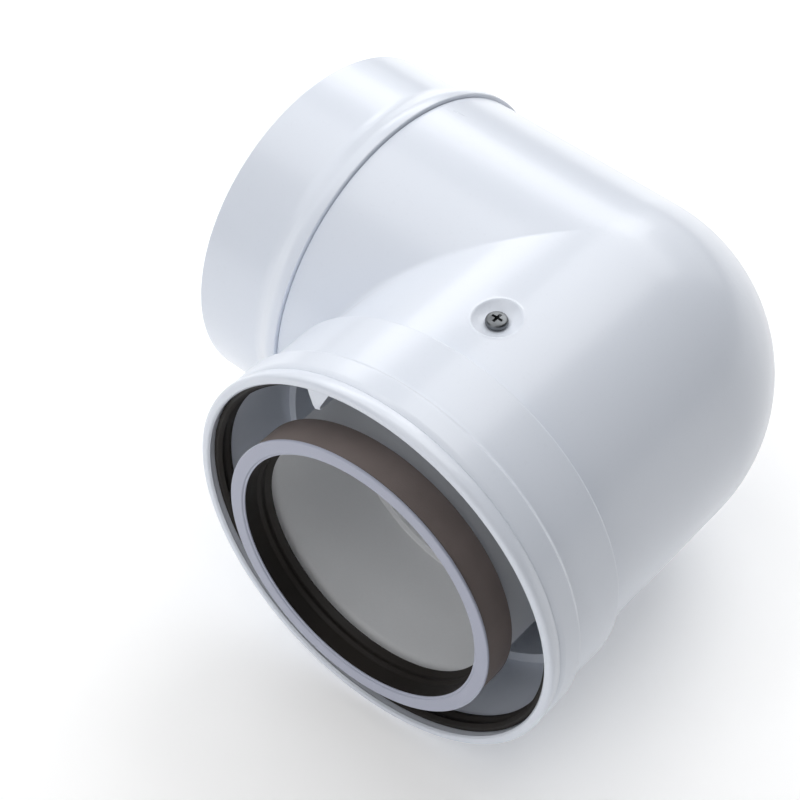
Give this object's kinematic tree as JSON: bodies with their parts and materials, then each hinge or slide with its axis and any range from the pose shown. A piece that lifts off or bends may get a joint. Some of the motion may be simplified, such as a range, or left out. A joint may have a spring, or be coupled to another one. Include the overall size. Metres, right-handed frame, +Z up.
{
  "type": "flue elbow",
  "caption": "Twin-wall flue elbow: a grey flue pipe inside a white air pipe, with a sealed socket on one leg and a plain spigot on the other.",
  "frame": {"origin": "on the surface the elbow lies on, under the middle of its box; the two pipe axes cross at x 23.7, y 19.6, z 62.8 mm", "axes": "+Z up, square to the plane of the bend; the socket opens towards -Y, and the spigot points towards -X, leaning 3 degrees towards +Y"},
  "size_m": [0.173, 0.1646, 0.1256],
  "materials": {
    "white_shell": "glossy cool white moulded plastic",
    "grey_pipe": "satin pale grey polypropylene",
    "collar_plastic": "satin pale grey plastic with a lilac tint",
    "seal_rubber": "soft black seal rubber with a low sheen",
    "screw_zinc": "bright zinc plated steel"
  },
  "bodies": {
    "root": {"outer_elbow_body": "white_shell", "outer_spigot_sleeve": "white_shell", "outer_socket_ring": "white_shell", "outer_socket_seal": "seal_rubber", "inner_elbow": "grey_pipe", "inner_spigot_tube": "grey_pipe", "inner_socket_seal": "seal_rubber", "inner_socket_ring": "collar_plastic", "spigot_spacer": "grey_pipe", "fixing_screw_top": "screw_zinc", "fixing_screw_bottom": "screw_zinc"}
  },
  "joints": []
}
